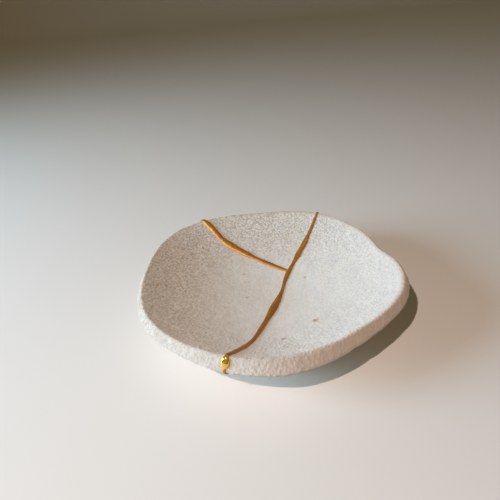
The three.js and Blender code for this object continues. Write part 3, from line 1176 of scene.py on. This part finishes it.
class KINTSUGI_OT_shards(bpy.types.Operator):
    """Make the three stoneware shards"""

    bl_idname = "kintsugi.shards"
    bl_label = "Make the shards"

    def execute(self, context):
        clay, seam, _ = settings()
        profile, arms = Profile(clay), crack_arms()
        tree = clay_tree(shared_rule(clay), clay)
        values = size_inputs(clay, FORM_INPUTS + CLAY_INPUTS) | {
            "Seed": clay.seed,
            "Clay": stoneware_material(clay),
            "Iron": iron_material(clay),
        }
        half_gap = seam.web_thickness / 2 - 0.03 * MM
        for node, first_name, second_name, columns in SHARDS:
            first, second = trimmed_pair(
                beside(arms[first_name], half_gap), beside(arms[second_name], -half_gap)
            )
            sheet = shard_sheet(profile, first, second, columns)
            piece = clay_blank(node + "_clay", profile, sheet)
            add_tree(piece, tree, values)
            settle(piece)
            close_crack_faces(piece, sheet)
            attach(piece, BODY)
            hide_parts(node)
        return {"FINISHED"}


def close_crack_faces(piece, sheet):
    """Adds the two broken faces, where the sheet's sides stand one above the other."""
    mesh = piece.data
    place = np.zeros((len(mesh.vertices), 3), np.float32)
    mesh.vertices.foreach_get("co", place.ravel())
    order = np.zeros(len(mesh.vertices), np.float32)
    mesh.attributes["order"].data.foreach_get("value", order)
    # The iron specks have no order, so each point of the sheet is found by its own.
    found = np.argsort(order, kind="stable")[int((order < 0.5).sum()) :]
    bm = bmesh.new()
    bm.from_mesh(mesh)
    bm.verts.ensure_lookup_table()
    for side in (0, -1):
        chain = [int(found[index]) for index in sheet.edge(side)]
        outer = int(np.argmax(np.hypot(*place[chain, :2].T)))
        away = np.linalg.norm(place[:, :2] - place[chain[0], :2], axis=1)
        for corners in link_sides(chain[: outer + 1], chain[outer:][::-1], away):
            face = bm.faces.new([bm.verts[i] for i in (corners if side else corners[::-1])])
            face.smooth = False
    bm.to_mesh(mesh)
    bm.free()
    mesh.set_sharp_from_angle(angle=math.radians(60))


class KINTSUGI_OT_seam(bpy.types.Operator):
    """Make the gilded lacquer in the cracks"""

    bl_idname = "kintsugi.seam"
    bl_label = "Make the gilded seam"

    def execute(self, context):
        clay, seam, _ = settings()
        profile, arms = Profile(clay), crack_arms()
        gold = gold_material(seam)
        tree = bead_tree(shared_rule(clay), clay, seam)
        sizes = size_inputs(clay, FORM_INPUTS) | size_inputs(seam, BEAD_INPUTS)
        values = sizes | {
            "Seed": seam.seed,
            "Gold": gold,
        }
        parts = []
        stations = {name: arm_stations(profile, seam, name, arms[name]) for name in arms}
        main = {
            key: np.concatenate([stations["far"][key][:0:-1], stations["near"][key]])
            for key in stations["far"]
        }
        for name, run in (("main_bead", main), ("branch_bead", stations["branch"])):
            path = bead_path(name, run)
            add_tree(path, tree, values)
            settle(path)
            parts.append(path)
        main_line = np.vstack([arms["far"][:0:-1], arms["near"]])
        centre_lines = {"main_web": main_line, "branch_web": arms["branch"]}
        for name, line in centre_lines.items():
            parts.append(crack_web(name, profile, seam, line, gold))
        piece = joined("gilded_seam", parts)
        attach(piece, BODY)
        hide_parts("gold_seam")
        return {"FINISHED"}


def arm_stations(profile, seam, name, line):
    """Where the bead runs along a crack, from the junction to the foot, with its width and rise."""
    widths, lip_width, wall_width = SEAM_WIDTHS[name]
    crest = crossing(profile, line, profile.crest_start)
    inside = np.linspace(0, crest, round(crest / SEAM_SPACING) + 1)
    plan = along_line(line, inside)
    inside_run = profile.run_at(plan, False)
    inside_turn = np.arctan2(plan[:, 1], plan[:, 0])
    # The widths are laid out evenly in the curve's own measure, as its points are.
    measure = np.interp(inside, lengths(line), np.arange(len(line)))
    width_line = smooth_line(np.stack([np.arange(len(widths)), widths], axis=1))
    station = measure / measure[-1] * (len(widths) - 1)
    inside_width = np.interp(station, width_line[:, 0], width_line[:, 1]) * MM
    end = profile.run_low_on_the_wall(seam.foot_recess + seam.end_height)
    count = round((end - profile.crest_start) / SEAM_SPACING)
    outside_run = np.linspace(profile.crest_start, end, count + 1)[1:]
    outside_turn = np.array([turn_at(profile, line, run) for run in outside_run])
    over = smooth_share(outside_run, profile.crest_start, profile.lip_start)
    down = smooth_share(outside_run, profile.lip_end, profile.wall_start + 3 * MM)
    outside_width = widths[-1] + (lip_width - widths[-1]) * over
    outside_width = (outside_width + (wall_width - outside_width) * down) * MM
    run = np.concatenate([inside_run, outside_run])
    width = np.concatenate([inside_width, outside_width])
    rise = seam.bead_rise * width
    polish = np.zeros_like(run)
    if name == "near":
        width, rise, polish = hang_drop(profile, seam, run, width, rise)
    # The bead runs out thin and narrow above the foot.
    left = smooth_share(end - run, -0.2 * MM, 3 * MM)
    left[: len(inside)] = 1
    turn = np.unwrap(np.concatenate([inside_turn, outside_turn]))
    step = np.hypot(np.diff(run), profile.clay.rim_radius * 0.5 * np.diff(turn))
    # The two arms of the main crack share one measure along it, and the branch has its own.
    sign = -1.0 if name == "far" else 1.0
    offset = 0.5 if name == "branch" else 0.0
    along = sign * np.concatenate([[0], np.cumsum(step)]) + offset
    return {
        "turn": turn,
        "place": profile.place(run),
        "place_ahead": profile.place(run + 0.1 * MM),
        "half_width": width * (0.3 + 0.7 * left) / 2,
        "rise": rise * left,
        "along": along,
        "polish": polish,
    }


def hang_drop(profile, seam, run, width, rise):
    """Widens the bead into the drop on the near lip, with its thin tail, and says how polished
    it is."""
    middle = profile.lip_start + (profile.lip_end - profile.lip_start) * seam.drop_place
    away = (run - middle) / (seam.drop_length / 2)
    round_share = np.sqrt(np.clip(1 - away**2, 0, 1))
    tail = smooth_share(run, middle, middle + 0.45 * seam.drop_length)
    tail = tail * (1 - smooth_share(run, profile.wall_start, profile.wall_start + 8 * MM))
    width = width + (seam.tail_width - width) * tail
    rise = np.minimum(rise, seam.bead_rise * width)
    width = np.maximum(width, seam.drop_width * round_share)
    rise = np.maximum(rise, seam.drop_rise * round_share)
    return width, rise, 1 - smooth_share(abs(away), 0.95, 1.35)


def bead_path(name, stations):
    """The stations as a chain of points that carries what the bead needs at each."""
    count = len(stations["turn"])
    flat = np.stack([stations["along"], 0 * stations["along"], 0 * stations["along"]], axis=1)
    path = new_piece(name, flat, edges=[(i, i + 1) for i in range(count - 1)])
    for key, value in stations.items():
        put_attribute(path.data, key, value)
    return path


def surface_point(profile, run, turn):
    """The bowl's rule for a few points, as the node tree has it."""
    clay, place = profile.clay, profile.place(run)
    radius = plan_radius(clay, place, turn)
    uneven = wave_sum(HEIGHT_WAVES, turn) - clay.dent_dip * dent_share(clay, turn)
    lift = smooth_share(place[..., 2], 0, clay.rim_height) * place[..., 0] ** 2
    return np.stack(
        [radius * np.cos(turn), radius * np.sin(turn), place[..., 2] + uneven * lift], axis=-1
    )


def crack_web(name, profile, seam, line, gold):
    """The lacquer inside a crack: its section between the clay's surfaces, given a thickness."""
    recess = 0.35 * MM
    away = lengths(line)
    radius = np.hypot(line[:, 0], line[:, 1])
    turn = np.arctan2(line[:, 1], line[:, 0])
    widest = plan_radius(profile.clay, profile.place(profile.wall_start - 1 * MM), turn) - recess
    held = np.flatnonzero(radius < widest)
    start, end = away[held[0]], away[held[-1]]
    steps = np.linspace(start, end, round((end - start) / WEB_SPACING))
    plan = along_line(line, steps)
    top, bottom = [], []
    ahead_runs = np.linspace(profile.crest_start, profile.foot, 200)
    for point in plan:
        here, out = turn_of(point), math.hypot(*point)
        reach = plan_radius(profile.clay, profile.place(ahead_runs), np.full(200, here)) - recess
        heights = surface_point(profile, ahead_runs, np.full(200, here))[:, 2]
        peak = int(np.argmax(reach))
        if out <= reach[0]:
            run = float(profile.run_at(point[None], False)[0])
            high = surface_point(profile, np.array([run]), np.array([here]))[0, 2]
        else:
            high = float(np.interp(out, reach[: peak + 1], heights[: peak + 1]))
        if out <= reach[-1]:
            low = 0.0
        else:
            low = float(np.interp(-out, -reach[peak:], heights[peak:]))
        top.append((*point, high - 0.15 * MM))
        bottom.append((*point, max(seam.foot_recess, low + 0.3 * MM)))
    count = len(top)
    faces = [(i, i + 1, count + i + 1, count + i) for i in range(count - 1)]
    web = new_piece(name, top + bottom, faces=faces)
    web.data.materials.append(gold)
    thick = web.modifiers.new("Thickness", "SOLIDIFY")
    thick.thickness, thick.offset = seam.web_thickness, 0.0
    settle(web)
    return web


def joined(name, parts):
    """Several parts as one piece, each a closed skin that faces outwards."""
    bm = bmesh.new()
    gold = parts[0].data.materials[0]
    for part in parts:
        bm.from_mesh(part.data)
        bpy.data.objects.remove(part)
    bmesh.ops.recalc_face_normals(bm, faces=bm.faces[:])
    mesh = bpy.data.meshes.new(name)
    bm.to_mesh(mesh)
    bm.free()
    mesh.materials.append(gold)
    mesh.set_sharp_from_angle(angle=math.radians(50))
    piece = bpy.data.objects.new(name, mesh)
    bpy.context.scene.collection.objects.link(piece)
    return piece


# ---------------------------------------------------------------- stage


def softbox(name, turn, height, size, power, colour):
    """A round light at an angle round the bowl and above the floor, which faces the bowl."""
    target, away = Vector((0, 0, 0.02)), 0.9
    flat = Vector((math.cos(turn), math.sin(turn), 0))
    place = target + away * (math.cos(height) * flat + math.sin(height) * Vector((0, 0, 1)))
    light = bpy.data.lights.new(name, "AREA")
    light.shape, light.size, light.energy, light.color = "DISK", size, power, colour
    lamp = bpy.data.objects.new(name, light)
    bpy.context.scene.collection.objects.link(lamp)
    lamp.location = place
    lamp.rotation_euler = (target - place).to_track_quat("-Z", "Y").to_euler()
    return lamp


def floor_sweep(stage):
    """A wide floor that curves up far behind the bowl."""
    half, bend, tall = 3.0, 0.8, 1.6
    profile = [(-half, 0.0), (0.0, 0.0), (half - bend, 0.0)]
    for step in range(1, 17):
        angle = step / 16 * math.pi / 2
        profile.append((half - bend + bend * math.sin(angle), bend - bend * math.cos(angle)))
    profile.append((half, tall))
    points = [(x, y, z) for y, z in profile for x in (-half, half)]
    faces = [(2 * i, 2 * i + 1, 2 * i + 3, 2 * i + 2) for i in range(len(profile) - 1)]
    floor = new_piece("floor", points, faces=faces)
    floor.data.materials.append(floor_material(stage))
    floor.data.shade_smooth()
    return floor


class KINTSUGI_OT_stage(bpy.types.Operator):
    """Set the floor, the lights and the camera"""

    bl_idname = "kintsugi.stage"
    bl_label = "Set the stage"

    def execute(self, context):
        _, _, stage = settings()
        floor_sweep(stage)
        window = (stage.window_turn, stage.window_height, 0.45, stage.window_power)
        softbox("window", *window, stage.window_colour)
        lamp = (stage.lamp_turn, stage.lamp_height, 0.02, stage.lamp_power)
        softbox("lamp", *lamp, stage.lamp_colour)
        world = bpy.data.worlds.new("room")
        world.use_nodes = True
        room = world.node_tree.nodes["Background"]
        room.inputs["Color"].default_value = stage.room_colour
        room.inputs["Strength"].default_value = stage.room_strength
        context.scene.world = world
        lens = bpy.data.cameras.new("camera")
        lens.lens, lens.sensor_width = stage.camera_lens, 36.0
        lens.clip_start, lens.clip_end = 0.005, 50.0
        camera = bpy.data.objects.new("camera", lens)
        camera.matrix_world = (
            Matrix.Translation(stage.camera_place)
            @ Matrix.Rotation(stage.camera_left, 4, "Z")
            @ Matrix.Rotation(math.pi / 2 - stage.camera_down, 4, "X")
            @ Matrix.Rotation(stage.camera_roll, 4, "Z")
        )
        context.scene.collection.objects.link(camera)
        context.scene.camera = camera
        context.scene.view_settings.view_transform = "Standard"
        return {"FINISHED"}


class KINTSUGI_PT_panel(bpy.types.Panel):
    """Lists the pieces of the bowl and their sizes"""

    bl_idname = "KINTSUGI_PT_panel"
    bl_label = "Kintsugi bowl"
    bl_space_type = "VIEW_3D"
    bl_region_type = "UI"
    bl_category = "Kintsugi bowl"

    def draw(self, context):
        groups = zip(OPERATORS, settings())
        for operator, group in groups:
            box = self.layout.box()
            box.operator(operator.bl_idname)
            for name in group.bl_rna.properties.keys():
                if name not in ("rna_type", "name"):
                    box.prop(group, name)


OPERATORS = (KINTSUGI_OT_shards, KINTSUGI_OT_seam, KINTSUGI_OT_stage)
GROUPS = {
    "kintsugi_clay": KintsugiClay,
    "kintsugi_seam": KintsugiSeam,
    "kintsugi_stage": KintsugiStage,
}


def register():
    for kind in (*GROUPS.values(), *OPERATORS, KINTSUGI_PT_panel):
        bpy.utils.register_class(kind)
    for name, group in GROUPS.items():
        setattr(bpy.types.Scene, name, PointerProperty(type=group))


def unregister():
    for name in GROUPS:
        delattr(bpy.types.Scene, name)
    for kind in (KINTSUGI_PT_panel, *reversed(OPERATORS), *GROUPS.values()):
        bpy.utils.unregister_class(kind)


def main():
    register()
    bpy.ops.kintsugi.shards()
    bpy.ops.kintsugi.seam()
    bpy.ops.kintsugi.stage()
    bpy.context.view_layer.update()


if __name__ == "__main__":
    main()
